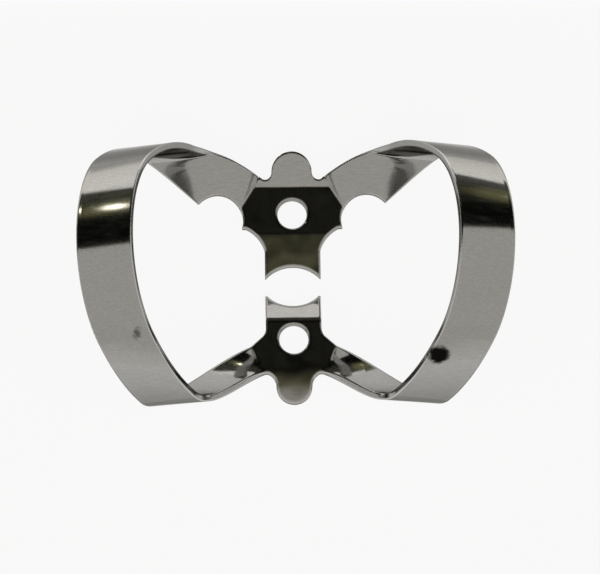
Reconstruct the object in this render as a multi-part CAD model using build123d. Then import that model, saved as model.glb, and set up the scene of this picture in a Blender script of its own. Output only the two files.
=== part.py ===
from build123d import *
import math
import os

# Rubber dam clamp with two bows, folded from one piece of spring steel sheet.
# Millimetres. While it is built, X runs from bow to bow, Y runs from the lower jaw
# to the upper jaw, Z points up to the bows, and the crests of the bows lie at Z = 0.
# At the end it is set down on the table the way it comes to rest.

# Sheet and strip
sheet = 0.5
strip_width = 4.4

# Bows: each is one strip, arched over the jaws and leaning outwards
crest_x = 14.35
bow_lean = 22.5
crest_radius = 8.0
crest_angle = 61.0
leg_radius = 21.5
leg_angle = 23.5

# Level of the two jaw plates below the crests
jaw_depth = 14.0

# Forceps holes
hole_d = 2.2
rim_round = 0.15

# Upper jaw: raised tab, scalloped wings, prongs bent down a little
upper_hole_y = 5.16
upper_tab_tip_y = 9.86
upper_tab_half = 1.53
upper_tab_bend_y = 7.36
upper_tab_bend_r = 0.6
upper_tab_rise = 18.0
upper_neck_half = 2.2
upper_neck_y = 7.86
upper_shoulder_x = 3.45
upper_shoulder_y = 4.06
upper_armpit_y = 2.36
upper_armpit_r = 2.7
upper_prong_bend_y = 3.66
upper_prong_drop = 4.0
upper_prong_tip_y = 0.22
upper_hollow_r = 2.8
upper_hollow_depth = 0.9
scallop_x = 5.65
scallop_y = 4.7
scallop_r = 1.95

# Lower jaw: tab curled down a little, prongs bent down steeply right beside the hole
lower_hole_y = 4.59
lower_tab_tip_y = 9.54
lower_tab_half = 1.36
lower_tab_root_half = 1.95
lower_tab_root_y = 7.24
lower_tab_bend_y = 7.4
lower_tab_bend_r = 16.0
lower_tab_rise = -7.0
lower_armpit_y = 4.14
lower_armpit_r = 0.9
lower_prong_bend_y = 3.14
lower_prong_drop = 30.0
lower_prong_tip_y = 1.04
lower_hollow_r = 2.3
lower_hollow_depth = 1.05

# Both jaws: half the width over the prongs, and the bend of the prongs
prong_half = 2.1
prong_bend_r = 0.6

# Arms: each runs from a bow leg to a crease on its jaw plate.
# Crease ends on the inner and outer edge of the arm, the heading of the arm where it meets
# the plate, the slope of the inner and outer edge there, and how far each edge keeps its
# first and last heading.
upper_crease_in = (2.44, 8.05)
upper_crease_out = (4.81, 4.17)
upper_heading = 34.0
upper_slopes = (36.0, 6.0)
upper_reach_in = (9.9, 11.1)
upper_reach_out = (7.5, 9.2)
lower_crease_in = (2.17, 7.24)
lower_crease_out = (3.24, 5.16)
lower_heading = 17.0
lower_slopes = (29.7, -37.9)
lower_reach_in = (10.8, 6.3)
lower_reach_out = (10.9, 12.5)
arm_sections = 9

lean = math.radians(bow_lean)
bow_across = Vector(math.cos(lean), 0, math.sin(lean))
bow_normal = Vector(-math.sin(lean), 0, math.cos(lean))
crest = Vector(-crest_x, 0, 0)
along_y = Vector(0, 1, 0)


def direction(angle):
    """Unit vector from the vertical of the bow profile, towards its positive side."""
    a = math.radians(angle)
    return Vector(math.sin(a), math.cos(a))


def bow_profile(radius_shift):
    """One side of the bow profile, from leg end over the crest to the other leg end."""
    crest_centre = Vector(0, -crest_radius)
    joint = crest_centre + direction(crest_angle) * crest_radius
    leg_centre = joint - direction(crest_angle) * leg_radius
    left_centre = Vector(-leg_centre.X, leg_centre.Y)
    total = crest_angle + leg_angle
    leg_r = leg_radius + radius_shift
    right = CenterArc(leg_centre, leg_r, 90 - total, leg_angle)
    top = CenterArc(crest_centre, crest_radius + radius_shift, 90 - crest_angle, 2 * crest_angle)
    left = CenterArc(left_centre, leg_r, 90 + crest_angle, leg_angle)
    return right, top, left


def make_bow():
    """Left bow: its profile drawn out across the width of the strip."""
    outer = bow_profile(sheet / 2)
    inner = bow_profile(-sheet / 2)
    close_right = Line(outer[0] @ 0, inner[0] @ 0)
    close_left = Line(outer[2] @ 1, inner[2] @ 1)
    face = make_face([*outer, *inner, close_right, close_left])
    plane = Plane(origin=crest, x_dir=along_y, z_dir=bow_across)
    return extrude(plane * face, amount=strip_width / 2, both=True)


def leg_end(side):
    """Middle of the strip and its heading where a leg ends; side is 1 up, -1 down."""
    first = math.radians(crest_angle)
    last = math.radians(crest_angle + leg_angle)
    run = crest_radius * math.sin(first) + leg_radius * (math.sin(last) - math.sin(first))
    fall = crest_radius * (1 - math.cos(first)) + leg_radius * (math.cos(first) - math.cos(last))
    middle = crest + along_y * (side * run) - bow_normal * fall
    heading = along_y * (side * math.cos(last)) - bow_normal * math.sin(last)
    return middle, heading


def plate_heading(side, heading, slope):
    """Direction in which an edge of an arm runs into its jaw plate."""
    turn = math.radians(heading)
    dip = math.radians(slope)
    return Vector(math.cos(dip) * math.cos(turn), -side * math.cos(dip) * math.sin(turn), -math.sin(dip))


def curve(p0, m0, p1, m1, u):
    """Point and slope of a cubic curve from p0 to p1 that starts along m0 and ends along m1."""
    point = p0 * (2 * u**3 - 3 * u**2 + 1) + m0 * (u**3 - 2 * u**2 + u)
    point = point + p1 * (3 * u**2 - 2 * u**3) + m1 * (u**3 - u**2)
    slope = p0 * (6 * u**2 - 6 * u) + m0 * (3 * u**2 - 4 * u + 1)
    slope = slope + p1 * (6 * u - 6 * u**2) + m1 * (3 * u**2 - 2 * u)
    return point, slope


def make_arm(side, crease_in, crease_out, heading, slopes, reach_in, reach_out):
    """Left arm of one jaw: strip sections from the leg end to the crease."""
    middle, start = leg_end(side)
    inner_start = middle + bow_across * (strip_width / 2)
    outer_start = middle - bow_across * (strip_width / 2)
    inner_end = Vector(-crease_in[0], side * crease_in[1], -jaw_depth)
    outer_end = Vector(-crease_out[0], side * crease_out[1], -jaw_depth)
    inner_finish = plate_heading(side, heading, slopes[0])
    outer_finish = plate_heading(side, heading, slopes[1])
    sections = []
    for i in range(arm_sections):
        u = i / (arm_sections - 1)
        inner, inner_dir = curve(inner_start, start * reach_in[0], inner_end, inner_finish * reach_in[1], u)
        outer, outer_dir = curve(outer_start, start * reach_out[0], outer_end, outer_finish * reach_out[1], u)
        across = (inner - outer).normalized()
        ahead = inner_dir + outer_dir
        if u == 1:
            ahead = Vector(ahead.X, ahead.Y, 0)
        ahead = (ahead - across * ahead.dot(across)).normalized()
        plane = Plane(origin=(inner + outer) * 0.5, x_dir=across, z_dir=ahead)
        sections.append(plane * Rectangle((inner - outer).length, sheet))
    return loft(sections)


def jaw_sheet(tab_tip, tab_bend, tab_bend_r, tab_rise, bend, drop, tip):
    """Bent sheet of a jaw, wider and longer than the jaw, with its tab towards positive Y."""
    tab_end = tab_tip + sheet
    prong_end = tip - sheet
    tab_z = (tab_end - tab_bend) * math.tan(math.radians(tab_rise))
    prong_z = (prong_end - bend) * math.tan(math.radians(drop))
    line = Polyline((tab_end, tab_z), (tab_bend, 0), (bend, 0), (prong_end, prong_z))
    line = line.fillet_2d(prong_bend_r, [line.vertices().sort_by(Axis.X)[1]])
    middle = line.fillet_2d(tab_bend_r, [line.vertices().sort_by(Axis.X)[-2]])
    side = make_face(offset(middle, sheet / 2, side=Side.BOTH))
    plane = Plane(origin=(0, 0, -jaw_depth), x_dir=(0, 1, 0), z_dir=(1, 0, 0))
    return extrude(plane * side, amount=crest_x, both=True)


def cut_jaw(stock, left_edge, tab_tip, hole_y, bend, drop, tip, hollow_r, hollow_depth):
    """Cuts a jaw from its bent sheet: outline, square prong ends, hollow and forceps hole."""
    right_edge = [mirror(edge, about=Plane.YZ) for edge in left_edge]
    tab_end = ThreePointArc(left_edge[0] @ 0, (0, tab_tip), right_edge[0] @ 0)
    prong_end = Line(left_edge[-1] @ 1, right_edge[-1] @ 1)
    outline = make_face([*left_edge, *right_edge, tab_end, prong_end])
    plate = stock & Pos(0, 0, -jaw_depth) * extrude(outline, amount=jaw_depth, both=True)
    a = math.radians(drop)
    tip_edge = Vector(0, tip, -jaw_depth - (bend - tip) * math.tan(a))
    ahead = Vector(0, -math.cos(a), -math.sin(a))
    square = Vector(0, -math.sin(a), math.cos(a))
    past_tip = Plane(origin=tip_edge + ahead * 2 * sheet, z_dir=ahead)
    plate -= past_tip * Box(crest_x, crest_x, 4 * sheet)
    hollow = Plane(origin=tip_edge + ahead * (hollow_r - hollow_depth), z_dir=square)
    plate -= hollow * Cylinder(hollow_r, 4 * sheet)
    plate -= Pos(0, hole_y, -jaw_depth) * Cylinder(hole_d / 2, 4 * sheet)
    rims = plate.edges().filter_by(lambda e: e.geom_type == GeomType.CIRCLE and e.is_closed)
    return fillet(rims, rim_round)


def make_upper_jaw():
    """Upper jaw plate with raised tab, necks, shoulders, prongs and forceps hole."""
    stock = jaw_sheet(
        upper_tab_tip_y,
        upper_tab_bend_y,
        upper_tab_bend_r,
        upper_tab_rise,
        upper_prong_bend_y,
        upper_prong_drop,
        upper_prong_tip_y,
    )
    tab_side = (-upper_tab_half, upper_tab_tip_y - upper_tab_half)
    neck = (-upper_neck_half, upper_neck_y)
    crease_in = (-upper_crease_in[0], upper_crease_in[1])
    crease_out = (-upper_crease_out[0], upper_crease_out[1])
    shoulder = (-upper_shoulder_x, upper_shoulder_y)
    armpit = (-prong_half, upper_armpit_y)
    left_edge = [
        TangentArc(tab_side, neck, tangent=(0, -1)),
        Polyline(neck, crease_in, crease_out, shoulder),
        RadiusArc(shoulder, armpit, upper_armpit_r),
        Line(armpit, (-prong_half, -2 * sheet)),
    ]
    return cut_jaw(
        stock,
        left_edge,
        upper_tab_tip_y,
        upper_hole_y,
        upper_prong_bend_y,
        upper_prong_drop,
        upper_prong_tip_y,
        upper_hollow_r,
        upper_hollow_depth,
    )


def make_lower_jaw():
    """Lower jaw plate, made with its tab towards positive Y and then turned over in Y."""
    stock = jaw_sheet(
        lower_tab_tip_y,
        lower_tab_bend_y,
        lower_tab_bend_r,
        lower_tab_rise,
        lower_prong_bend_y,
        lower_prong_drop,
        lower_prong_tip_y,
    )
    tab_side = (-lower_tab_half, lower_tab_tip_y - lower_tab_half)
    root = (-lower_tab_root_half, lower_tab_root_y)
    crease_in = (-lower_crease_in[0], lower_crease_in[1])
    crease_out = (-lower_crease_out[0], lower_crease_out[1])
    armpit = (-prong_half, lower_armpit_y)
    left_edge = [
        TangentArc(tab_side, root, tangent=(0, -1)),
        Polyline(root, crease_in, crease_out),
        FilletPolyline(crease_out, armpit, (-prong_half, 0), radius=lower_armpit_r),
    ]
    plate = cut_jaw(
        stock,
        left_edge,
        lower_tab_tip_y,
        lower_hole_y,
        lower_prong_bend_y,
        lower_prong_drop,
        lower_prong_tip_y,
        lower_hollow_r,
        lower_hollow_depth,
    )
    return mirror(plate, about=Plane.XZ)


def rest_angle(body):
    """Slope of the table line that carries the body, touching it on both sides of its middle."""
    middle = body.center(CenterOf.MASS).Y
    steps = 16
    spots = [edge @ (i / steps) for edge in body.edges() for i in range(steps + 1)]
    below = [spot for spot in spots if spot.Y < middle]
    above = [spot for spot in spots if spot.Y > middle]
    lines = []
    for a in below:
        for b in above:
            slope = (b.Z - a.Z) / (b.Y - a.Y)
            lines.append((a.Z + slope * (middle - a.Y), slope))
    return math.degrees(math.atan(min(lines)[1]))


bow = make_bow()
upper_arm = make_arm(
    1, upper_crease_in, upper_crease_out, upper_heading, upper_slopes, upper_reach_in, upper_reach_out
)
lower_arm = make_arm(
    -1, lower_crease_in, lower_crease_out, lower_heading, lower_slopes, lower_reach_in, lower_reach_out
)
scallop = Pos(-scallop_x, scallop_y, -jaw_depth) * Cylinder(scallop_r, 2 * jaw_depth)
left_side = bow + upper_arm + lower_arm - scallop
right_side = mirror(left_side, about=Plane.YZ)
upper_jaw = make_upper_jaw() - scallop - mirror(scallop, about=Plane.YZ)
body = left_side + right_side + upper_jaw + make_lower_jaw()

# Set down the way it rests on a table
body = Rot(X=-rest_angle(body)) * body
box = body.bounding_box()
clamp_body = Pos(-box.center().X, -box.center().Y, -box.min.Z) * body.solid()

os.makedirs("parts", exist_ok=True)
export_step(clamp_body, "parts/clamp_body.step")
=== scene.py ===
import math

import bpy
from mathutils import Matrix, Vector

# Metres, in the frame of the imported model: +Z up, the clamp at rest on the floor.
# The steel's own patterns are laid out in millimetres.
MM_PER_METRE = 1000.0

# Camera, as it stood over the clamp
IMAGE_SIZE = (600, 574)
TARGET = Vector((0.0, 0.0, 0.007))
TARGET_PIXEL = (294.24, 267.93)
PIXELS_PER_METRE = 13274.0
CAMERA_TILT = math.radians(7.26)
CAMERA_YAW = math.radians(1.10)
CAMERA_ROLL = math.radians(0.70)
CAMERA_DISTANCE = 1.74
CAMERA_CLIP = 0.01
SENSOR = 36.0

# Floor
FLOOR_RADIUS = 3.0
FLOOR_SIDES = 96
FLOOR_COLOUR = (0.94, 0.94, 0.94, 1.0)
FLOOR_GLOW = 0.9
FLOOR_WHITE = 1.0

# Reflector cards on the floor outside the picture. Tones are (millimetres along +Y, tone).
CARD_STRENGTH = 1.35
CARD_TINT = (1.0, 0.98, 0.94)
CARD_HEIGHT = 0.0004
CARD_FAR = 3.0
FRONT_CARD_EDGE = -0.024
FRONT_CARD_TONES = ((-60.0, 0.5), (-42.0, 0.51), (-24.0, 0.68))
BACK_CARD_EDGE = 0.0215
BACK_CARD_TONES = ((16.0, 0.5), (22.0, 0.72), (26.0, 1.0))
BACK_CARD_SLANT = 0.22
DARK_CARD_BORDER = ((0.02, 0.09), (-0.2, 0.6), (-1.0, 3.0))
DARK_CARD_TONES = ((80.0, 0.08), (600.0, 0.08))

# Studio round the clamp, the same for every ray. A place in it is the pitch, in degrees from
# straight up towards +Y, and the side, which is the direction's x.
STUDIO_GREY = (0.69, 0.674, 0.645, 1.0)
STUDIO_LIGHT = (1.2, 1.18, 1.13, 1.0)

# The dark flag: its two edges are the pitch as a polynomial of the side
FLAG_BLACK = (0.003, 0.003, 0.003, 1.0)
FLAG_OLIVE = (0.17, 0.163, 0.085, 1.0)
FLAG_TOP = (0.115, 0.118, 0.092, 1.0)
FLAG_DIM = (0.020, 0.019, 0.013, 1.0)
FLAG_HAZE = (0.085, 0.085, 0.066, 1.0)
FLAG_OLIVE_STOP = 0.55
FLAG_LOW_EDGE = (9.6, 5.0, 28.0, 20.0)
FLAG_LOW_SOFT = 9.0
FLAG_LOW_SOFT_SLOPE = -18.75
FLAG_LOW_SOFT_LEAST = 1.5
FLAG_HIGH_EDGE = (75.7, 17.0, 85.0, 0.0)
FLAG_HIGH_SOFT = 2.0
FLAG_TOP_RANGE = (0.34, 0.75)
CLUTTER_STRETCH = (7.0, 26.0, 26.0)
CLUTTER_RANGE = (0.38, 0.62)
HAZE_STRETCH = (14.0, 30.0, 30.0)
HAZE_RANGE = (0.53, 0.78)
STUDIO_GRAIN = (1.0, 3.0)

# Lamps in the flag: place as (pitch, side), half sizes in degrees
LAMP_COLOUR = (1.0, 0.95, 0.80, 1.0)
LAMP_STRENGTH = 5.0
LAMP_PLACE = (62.7, -0.565)
LAMP_SIZE = (3.4, 2.4)
SMALL_LAMP_COLOUR = (0.8, 0.76, 0.55, 1.0)
SMALL_LAMP_PLACE = (82.0, 0.62)
SMALL_LAMP_SIZE = (2.0, 1.2)
LAMP_GLOW = (0.17, 0.16, 0.065, 1.0)
LAMP_GLOW_REACH = 130.0
LAMP_EDGE = (1.3, 0.7)
DEGREES_PER_SIDE = 70.0

# Steel colours
STEEL_COLOUR = (0.42, 0.415, 0.40, 1.0)
STEEL_GRAZING = (0.35, 0.345, 0.335, 1.0)
STEEL_LIGHT = (0.445, 0.44, 0.425, 1.0)
STEEL_DARK = (0.25, 0.245, 0.235, 1.0)
# Lighter colour on the rounded edges: partly rubbed wear, partly a painted highlight along them.
EDGE_WEAR_AND_HIGHLIGHT_COLOUR = (0.72, 0.71, 0.69, 1.0)
# Near-black colour of a spot and its tail on the right bow, which is also rougher and bumped there.
DARK_SPOT_COLOUR = (0.012, 0.011, 0.010, 1.0)
SCUFF_COLOUR = (0.10, 0.095, 0.08, 1.0)
SPECK_SHARE = 0.26
DRAWN_SHARE = 0.22
EDGE_WEAR_AND_HIGHLIGHT_SHARE = 0.7
SCUFF_SHARE = 0.85
TAIL_SHARE = 0.5

# Steel roughness: the range over the sheet, and what each pattern adds
ROUGH_RANGE = (0.06, 0.12)
DRAWN_ROUGH = 0.04
WEAR_ROUGH = 0.12
SCUFF_ROUGH = 0.15
DARK_SPOT_ROUGH = 0.4

# Noise patterns as (scale per millimetre, detail)
CLOUD_GRAIN = (0.9, 4.0)
SPECK_GRAIN = (9.0, 3.0)
DRAWN_GRAIN = (1.0, 3.0)
DRAWN_STRETCH = (1.0, 8.0, 8.0)
GRAIN_RANGE = (0.3, 0.7)
WAVE_GRAIN = (0.28, 1.0)
DISH_GRAIN = (0.42, 1.0)
SPOT_GRAIN = (2.4, 4.0)

# Bump heights in metres
WAVE_HEIGHT = 0.000007
DISH_HEIGHT = 0.00005
SPECK_HEIGHT = 0.0000004
DRAWN_HEIGHT = 0.0000005
DARK_SPOT_HEIGHT = 0.00001

# Rounded edges in metres, wider on the jaws: JAW_RANGE is where the jaws begin and where they are
# reached in full, in millimetres from the middle. The edge mask, which lightens the edges partly as rubbed wear
# and partly as a painted highlight, starts as the rounding turns the normal.
EDGE_ROUND = 0.00022
JAW_ROUND = 0.00032
ROUND_SAMPLES = 16
EDGE_WEAR_AND_HIGHLIGHT_RANGE = (0.99, 0.80)
JAW_RANGE = (7.0, 4.5)

# Slight crown of the bows' strip, in millimetres
STRIP_ACROSS = (0.9239, -0.0482, -0.3799)
STRIP_MIDDLE = 7.0
STRIP_HALF = 2.3
CROWN_RADIUS = 40.0

# Marks on the bows in millimetres: centre, radius, raggedness, squeeze along X and Y
DARK_SPOT = ((10.68, -7.22), 0.60, 0.45, (0.78, 1.15))
DARK_SPOT_TAIL = ((11.45, -7.2), 0.18, 0.5, (1.0, 1.0))
SCUFF_SPOT = ((-11.98, -5.62), 0.28, 0.9, (1.0, 1.0))
SPOT_SOFT = 0.16
OUTER_FACE_RANGE = (0.0, 0.1)


def link(tree, value, socket):
    """Sets a socket from a number, a tuple or another socket."""
    if isinstance(value, bpy.types.NodeSocket):
        tree.links.new(value, socket)
    else:
        socket.default_value = value


def calc(tree, operation, *values):
    """A maths node's result."""
    node = tree.nodes.new("ShaderNodeMath")
    node.operation = operation
    for place, value in enumerate(values):
        link(tree, value, node.inputs[place])
    return node.outputs[0]


def dot(tree, first, second):
    """The dot product of two vectors."""
    node = tree.nodes.new("ShaderNodeVectorMath")
    node.operation = "DOT_PRODUCT"
    link(tree, first, node.inputs[0])
    link(tree, second, node.inputs[1])
    return node.outputs["Value"]


def step(tree, value, start, end):
    """A smooth step from 0 at start to 1 at end."""
    node = tree.nodes.new("ShaderNodeMapRange")
    node.interpolation_type = "SMOOTHSTEP"
    link(tree, value, node.inputs["Value"])
    link(tree, start, node.inputs["From Min"])
    link(tree, end, node.inputs["From Max"])
    return node.outputs["Result"]


def scale(tree, value, low, high):
    """A 0 to 1 value taken to low to high."""
    node = tree.nodes.new("ShaderNodeMapRange")
    link(tree, value, node.inputs["Value"])
    node.inputs["To Min"].default_value = low
    node.inputs["To Max"].default_value = high
    return node.outputs["Result"]


def mix(tree, factor, first, second, blend="MIX"):
    """Two colours mixed."""
    node = tree.nodes.new("ShaderNodeMix")
    node.data_type = "RGBA"
    node.blend_type = blend
    link(tree, factor, node.inputs["Factor"])
    for socket in node.inputs:
        if socket.type == "RGBA":
            link(tree, first if socket.identifier.startswith("A") else second, socket)
    return next(socket for socket in node.outputs if socket.type == "RGBA")


def ramp(tree, factor, *stops):
    """A colour ramp through (position, colour) stops."""
    node = tree.nodes.new("ShaderNodeValToRGB")
    link(tree, factor, node.inputs["Fac"])
    elements = node.color_ramp.elements
    while len(elements) < len(stops):
        elements.new(0.5)
    for element, (position, colour) in zip(elements, stops):
        element.position = position
        element.color = colour
    return node.outputs["Color"]


def noise(tree, vector, size, detail):
    """A noise value from 0 to 1."""
    node = tree.nodes.new("ShaderNodeTexNoise")
    link(tree, vector, node.inputs["Vector"])
    node.inputs["Scale"].default_value = size
    node.inputs["Detail"].default_value = detail
    return node.outputs["Fac"]


def scaled(tree, vector, factors):
    """A vector times fixed factors."""
    node = tree.nodes.new("ShaderNodeVectorMath")
    node.operation = "MULTIPLY"
    link(tree, vector, node.inputs[0])
    link(tree, factors, node.inputs[1])
    return node.outputs["Vector"]


def polynomial(tree, value, terms):
    """terms[0] + terms[1] v + terms[2] v2 + terms[3] v3."""
    total = terms[-1]
    for term in reversed(terms[:-1]):
        total = calc(tree, "MULTIPLY_ADD", total, value, term)
    return total


def soft_edge(tree, value, edge, half_width):
    """A smooth step from 0 to 1 across an edge."""
    return step(tree, value, calc(tree, "SUBTRACT", edge, half_width), calc(tree, "ADD", edge, half_width))


def bump(tree, height, distance, normal):
    """A bump in metres on top of another normal."""
    node = tree.nodes.new("ShaderNodeBump")
    node.inputs["Distance"].default_value = distance
    link(tree, height, node.inputs["Height"])
    link(tree, normal, node.inputs["Normal"])
    return node.outputs["Normal"]


def new_material(name):
    """An empty node material with its output node."""
    material = bpy.data.materials.new(name)
    material.use_nodes = True
    material.node_tree.nodes.clear()
    output = material.node_tree.nodes.new("ShaderNodeOutputMaterial")
    return material, material.node_tree, output


def rounded_edges(tree, on_jaws):
    """The tumbled sheet's rounded normal, and a mask that is 1 on its rounded corners and 0 on its faces, for
    rubbed wear and a painted highlight along the edges.
    """
    corner = tree.nodes.new("ShaderNodeBevel")
    corner.samples = ROUND_SAMPLES
    link(tree, scale(tree, on_jaws, EDGE_ROUND, JAW_ROUND), corner.inputs["Radius"])
    geometry = tree.nodes.new("ShaderNodeNewGeometry")
    turn = dot(tree, corner.outputs["Normal"], geometry.outputs["Normal"])
    return corner.outputs["Normal"], step(tree, turn, *EDGE_WEAR_AND_HIGHLIGHT_RANGE)


def spot(tree, point, centre, radius, ragged, squeeze):
    """1 inside a ragged spot on the outer face of a bow, seen from above."""
    node = tree.nodes.new("ShaderNodeVectorMath")
    node.operation = "DISTANCE"
    link(tree, scaled(tree, point, (squeeze[0], squeeze[1], 0.0)), node.inputs[0])
    node.inputs[1].default_value = (squeeze[0] * centre[0], squeeze[1] * centre[1], 0.0)
    reach = calc(tree, "MULTIPLY_ADD", noise(tree, point, *SPOT_GRAIN), ragged, node.outputs["Value"])
    rim = radius + 0.5 * ragged
    inside = step(tree, reach, rim + SPOT_SOFT, rim - SPOT_SOFT)
    geometry = tree.nodes.new("ShaderNodeNewGeometry")
    upward = dot(tree, geometry.outputs["Normal"], (0.0, 0.0, 1.0))
    return calc(tree, "MULTIPLY", inside, step(tree, upward, *OUTER_FACE_RANGE))


def strip_crown(tree, parts):
    """Height of the slight crown across the bows' strip, the same on both sides."""
    mirrored = tree.nodes.new("ShaderNodeCombineXYZ")
    link(tree, calc(tree, "ABSOLUTE", parts.outputs["X"]), mirrored.inputs["X"])
    link(tree, parts.outputs["Y"], mirrored.inputs["Y"])
    link(tree, parts.outputs["Z"], mirrored.inputs["Z"])
    across = calc(tree, "SUBTRACT", dot(tree, mirrored.outputs[0], STRIP_ACROSS), STRIP_MIDDLE)
    across = calc(tree, "MINIMUM", calc(tree, "MAXIMUM", across, -STRIP_HALF), STRIP_HALF)
    return calc(tree, "MULTIPLY", calc(tree, "MULTIPLY", across, across), -0.5 / CROWN_RADIUS)


def steel_material():
    """Tumbled and polished spring steel: fine grain, soft waviness, rubbed edges lightened partly by wear and
    partly as a painted highlight, a dark spot and a scuff.
    """
    material, tree, output = new_material("spring_steel")
    shader = tree.nodes.new("ShaderNodeBsdfPrincipled")
    shader.inputs["Metallic"].default_value = 1.0
    shader.inputs["Specular Tint"].default_value = STEEL_GRAZING
    place = tree.nodes.new("ShaderNodeTexCoord")
    point = scaled(tree, place.outputs["Object"], (MM_PER_METRE, MM_PER_METRE, MM_PER_METRE))

    parts = tree.nodes.new("ShaderNodeSeparateXYZ")
    link(tree, point, parts.inputs[0])
    on_jaws = step(tree, calc(tree, "ABSOLUTE", parts.outputs["X"]), *JAW_RANGE)
    corner, wear_and_highlight = rounded_edges(tree, on_jaws)
    cloud = noise(tree, point, *CLOUD_GRAIN)
    speck = noise(tree, point, *SPECK_GRAIN)
    drawn = noise(tree, scaled(tree, point, DRAWN_STRETCH), *DRAWN_GRAIN)
    # A near-black, rougher, bumped spot with a tail on the right bow.
    dark_spot = spot(tree, point, *DARK_SPOT)
    dark_tail = spot(tree, point, *DARK_SPOT_TAIL)
    scuff = spot(tree, point, *SCUFF_SPOT)

    colour = mix(tree, cloud, STEEL_COLOUR, STEEL_LIGHT)
    layers = (
        (step(tree, speck, *GRAIN_RANGE), SPECK_SHARE, STEEL_DARK),
        (step(tree, drawn, *GRAIN_RANGE), DRAWN_SHARE, STEEL_DARK),
        # Rounded edges lightened: rubbed wear and a painted highlight along the edges.
        (wear_and_highlight, EDGE_WEAR_AND_HIGHLIGHT_SHARE, EDGE_WEAR_AND_HIGHLIGHT_COLOUR),
        (scuff, SCUFF_SHARE, SCUFF_COLOUR),
        (dark_tail, TAIL_SHARE, DARK_SPOT_COLOUR),
        (dark_spot, 1.0, DARK_SPOT_COLOUR),
    )
    for mask, share, layer in layers:
        colour = mix(tree, scale(tree, mask, 0.0, share), colour, layer)
    link(tree, colour, shader.inputs["Base Color"])

    rough = scale(tree, cloud, *ROUGH_RANGE)
    additions = ((drawn, DRAWN_ROUGH), (wear_and_highlight, WEAR_ROUGH), (scuff, SCUFF_ROUGH), (dark_spot, DARK_SPOT_ROUGH))
    for mask, more in additions:
        rough = calc(tree, "MULTIPLY_ADD", mask, more, rough)
    link(tree, rough, shader.inputs["Roughness"])

    bumps = (
        (strip_crown(tree, parts), 1.0 / MM_PER_METRE),
        (noise(tree, point, *WAVE_GRAIN), WAVE_HEIGHT),
        (calc(tree, "MULTIPLY", noise(tree, point, *DISH_GRAIN), on_jaws), DISH_HEIGHT),
        (speck, SPECK_HEIGHT),
        (drawn, DRAWN_HEIGHT),
        (dark_spot, DARK_SPOT_HEIGHT),
    )
    normal = corner
    for height, distance in bumps:
        normal = bump(tree, height, distance, normal)
    link(tree, normal, shader.inputs["Normal"])
    tree.links.new(shader.outputs["BSDF"], output.inputs["Surface"])
    return material


def make_floor():
    """Plain white floor, which keeps the clamp's shadow."""
    bpy.ops.mesh.primitive_circle_add(vertices=FLOOR_SIDES, radius=FLOOR_RADIUS, fill_type="NGON")
    floor = bpy.context.object
    floor.name = "floor"
    material, tree, output = new_material("floor_white")
    matt = tree.nodes.new("ShaderNodeBsdfDiffuse")
    matt.inputs["Color"].default_value = FLOOR_COLOUR
    white = tree.nodes.new("ShaderNodeEmission")
    white.inputs["Strength"].default_value = FLOOR_WHITE
    path = tree.nodes.new("ShaderNodeLightPath")
    seen = calc(tree, "MAXIMUM", path.outputs["Is Camera Ray"], path.outputs["Is Glossy Ray"])
    seen = calc(tree, "MAXIMUM", seen, path.outputs["Is Transmission Ray"])
    both = tree.nodes.new("ShaderNodeMixShader")
    link(tree, calc(tree, "MULTIPLY", seen, FLOOR_GLOW), both.inputs["Fac"])
    tree.links.new(matt.outputs["BSDF"], both.inputs[1])
    tree.links.new(white.outputs["Emission"], both.inputs[2])
    tree.links.new(both.outputs["Shader"], output.inputs["Surface"])
    floor.data.materials.append(material)


def make_card(name, corners, stops, slant=0.0):
    """A reflector card just over the floor, seen in the metal and not by the camera."""
    mesh = bpy.data.meshes.new(name)
    mesh.from_pydata([(x, y, CARD_HEIGHT) for x, y in corners], [], [list(range(len(corners)))])
    card = bpy.data.objects.new(name, mesh)
    bpy.context.scene.collection.objects.link(card)
    material, tree, output = new_material(name)
    place = tree.nodes.new("ShaderNodeTexCoord")
    along = dot(tree, place.outputs["Object"], (MM_PER_METRE * slant, MM_PER_METRE, 0.0))
    first, last = stops[0][0], stops[-1][0]
    share = calc(tree, "DIVIDE", calc(tree, "SUBTRACT", along, first), last - first)
    tones = []
    for at, tone in stops:
        tones.append(((at - first) / (last - first), (*(tone * tint for tint in CARD_TINT), 1.0)))
    light = tree.nodes.new("ShaderNodeEmission")
    light.inputs["Strength"].default_value = CARD_STRENGTH
    link(tree, ramp(tree, share, *tones), light.inputs["Color"])
    tree.links.new(light.outputs["Emission"], output.inputs["Surface"])
    mesh.materials.append(material)
    card.visible_camera = False
    card.visible_shadow = False


def make_cards():
    """Grey cards before and behind the clamp, and a dark one far behind it on the right."""
    near, middle, far = DARK_CARD_BORDER
    front = [
        (-CARD_FAR, -CARD_FAR), (CARD_FAR, -CARD_FAR), (CARD_FAR, FRONT_CARD_EDGE), (-CARD_FAR, FRONT_CARD_EDGE)
    ]
    back = [
        (-CARD_FAR, BACK_CARD_EDGE), (CARD_FAR, BACK_CARD_EDGE), (CARD_FAR, near[1]), near, middle, far,
        (-CARD_FAR, CARD_FAR),
    ]
    dark = [near, (CARD_FAR, near[1]), (CARD_FAR, CARD_FAR), far, middle]
    make_card("front_card", front, FRONT_CARD_TONES)
    make_card("back_card", back, BACK_CARD_TONES, slant=BACK_CARD_SLANT)
    make_card("dark_card", dark, DARK_CARD_TONES)


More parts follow.
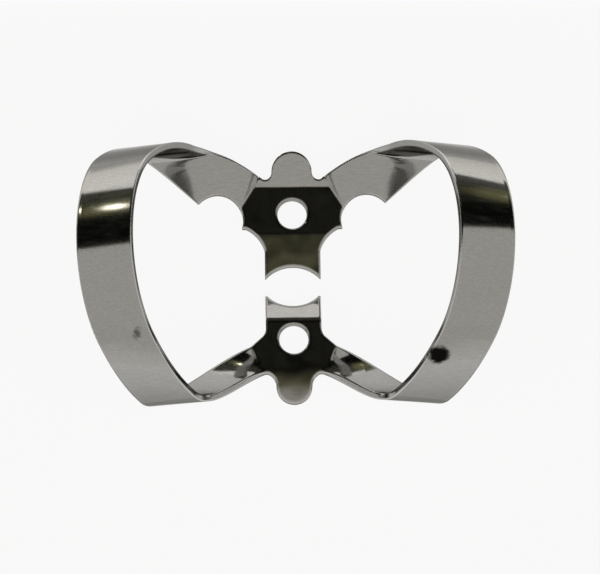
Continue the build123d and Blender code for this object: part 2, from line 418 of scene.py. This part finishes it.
def lamp_spot(tree, pitch, side, place, size):
    """The core and the glow of a lamp at (pitch, side) with half sizes in degrees."""
    rise = calc(tree, "SUBTRACT", pitch, place[0])
    aside = calc(tree, "MULTIPLY", calc(tree, "SUBTRACT", side, place[1]), DEGREES_PER_SIDE)
    core = calc(
        tree, "ADD", calc(tree, "POWER", calc(tree, "DIVIDE", rise, size[0]), 2.0),
        calc(tree, "POWER", calc(tree, "DIVIDE", aside, size[1]), 2.0),
    )
    glow = calc(tree, "ADD", calc(tree, "POWER", rise, 2.0), calc(tree, "POWER", aside, 2.0))
    return step(tree, core, *LAMP_EDGE), step(tree, glow, LAMP_GLOW_REACH, 0.0)


def studio_colour(tree):
    """The studio round the clamp: a grey tent with a dark flag, two lamps in it and a light wall behind."""
    place = tree.nodes.new("ShaderNodeTexCoord")
    way = place.outputs["Generated"]
    side = dot(tree, way, (1.0, 0.0, 0.0))
    ahead = dot(tree, way, (0.0, 1.0, 0.0))
    above = dot(tree, way, (0.0, 0.0, 1.0))
    pitch = calc(tree, "MULTIPLY", calc(tree, "ARCTAN2", ahead, above), 180.0 / math.pi)
    low = polynomial(tree, side, FLAG_LOW_EDGE)
    high = polynomial(tree, side, FLAG_HIGH_EDGE)
    soft = calc(tree, "MULTIPLY_ADD", calc(tree, "ABSOLUTE", side), FLAG_LOW_SOFT_SLOPE, FLAG_LOW_SOFT)
    soft = calc(tree, "MAXIMUM", soft, FLAG_LOW_SOFT_LEAST)
    in_low = soft_edge(tree, pitch, low, soft)
    in_high = soft_edge(tree, pitch, high, FLAG_HIGH_SOFT)
    colour = ramp(tree, in_low, (0.0, STUDIO_GREY), (FLAG_OLIVE_STOP, FLAG_OLIVE), (1.0, FLAG_BLACK))

    haze = noise(tree, scaled(tree, way, HAZE_STRETCH), *STUDIO_GRAIN)
    haze = calc(tree, "MULTIPLY", step(tree, haze, *HAZE_RANGE), in_low)
    colour = mix(tree, haze, colour, FLAG_HAZE, "ADD")
    share = calc(tree, "DIVIDE", calc(tree, "SUBTRACT", pitch, low), calc(tree, "SUBTRACT", high, low))
    clutter = noise(tree, scaled(tree, way, CLUTTER_STRETCH), *STUDIO_GRAIN)
    top = mix(tree, step(tree, clutter, *CLUTTER_RANGE), FLAG_DIM, FLAG_TOP)
    colour = mix(tree, step(tree, share, *FLAG_TOP_RANGE), colour, top)

    core, glow = lamp_spot(tree, pitch, side, LAMP_PLACE, LAMP_SIZE)
    small, small_glow = lamp_spot(tree, pitch, side, SMALL_LAMP_PLACE, SMALL_LAMP_SIZE)
    colour = mix(tree, glow, colour, LAMP_GLOW, "ADD")
    colour = mix(tree, small_glow, colour, LAMP_GLOW, "ADD")
    colour = mix(tree, small, colour, SMALL_LAMP_COLOUR)
    colour = mix(tree, in_high, colour, STUDIO_LIGHT)
    return colour, core


def make_world():
    """The studio, the same for every ray."""
    world = bpy.data.worlds.new("studio")
    world.use_nodes = True
    tree = world.node_tree
    tree.nodes.clear()
    output = tree.nodes.new("ShaderNodeOutputWorld")
    colour, core = studio_colour(tree)
    tent = tree.nodes.new("ShaderNodeBackground")
    link(tree, colour, tent.inputs["Color"])
    lamp = tree.nodes.new("ShaderNodeBackground")
    lamp.inputs["Color"].default_value = LAMP_COLOUR
    lamp.inputs["Strength"].default_value = LAMP_STRENGTH
    lit = tree.nodes.new("ShaderNodeMixShader")
    link(tree, core, lit.inputs["Fac"])
    tree.links.new(tent.outputs["Background"], lit.inputs[1])
    tree.links.new(lamp.outputs["Background"], lit.inputs[2])
    tree.links.new(lit.outputs["Shader"], output.inputs["Surface"])
    bpy.context.scene.world = world


def make_camera():
    """Camera over the clamp, turned as in the photograph."""
    right = Vector((math.cos(CAMERA_YAW), 0, math.sin(CAMERA_YAW)))
    square = Vector((-math.sin(CAMERA_YAW), 0, math.cos(CAMERA_YAW)))
    up = Vector((0, math.cos(CAMERA_TILT), 0)) + square * math.sin(CAMERA_TILT)
    back = Vector((0, -math.sin(CAMERA_TILT), 0)) + square * math.cos(CAMERA_TILT)
    image_right = right * math.cos(CAMERA_ROLL) - up * math.sin(CAMERA_ROLL)
    image_up = right * math.sin(CAMERA_ROLL) + up * math.cos(CAMERA_ROLL)
    aside = (IMAGE_SIZE[0] / 2 - TARGET_PIXEL[0]) / PIXELS_PER_METRE
    below = (IMAGE_SIZE[1] / 2 - TARGET_PIXEL[1]) / PIXELS_PER_METRE
    place = TARGET + image_right * aside - image_up * below + back * CAMERA_DISTANCE
    data = bpy.data.cameras.new("camera")
    data.sensor_width = SENSOR
    data.lens = SENSOR * CAMERA_DISTANCE * PIXELS_PER_METRE / IMAGE_SIZE[0]
    data.clip_start = CAMERA_CLIP
    camera = bpy.data.objects.new("camera", data)
    bpy.context.scene.collection.objects.link(camera)
    turn = Matrix((image_right, image_up, back)).transposed().to_4x4()
    camera.matrix_world = Matrix.Translation(place) @ turn
    bpy.context.scene.camera = camera


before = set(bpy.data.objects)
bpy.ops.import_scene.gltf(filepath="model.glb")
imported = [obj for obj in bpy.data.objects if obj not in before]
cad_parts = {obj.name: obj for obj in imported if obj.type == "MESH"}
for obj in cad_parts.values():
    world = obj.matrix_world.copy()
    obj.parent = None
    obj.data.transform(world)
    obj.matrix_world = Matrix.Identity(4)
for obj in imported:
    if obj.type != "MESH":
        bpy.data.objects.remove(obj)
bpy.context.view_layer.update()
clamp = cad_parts["clamp_body"]
clamp.material_slots[0].material = steel_material()
make_floor()
make_cards()
make_world()
make_camera()
bpy.context.scene.view_settings.view_transform = "Standard"
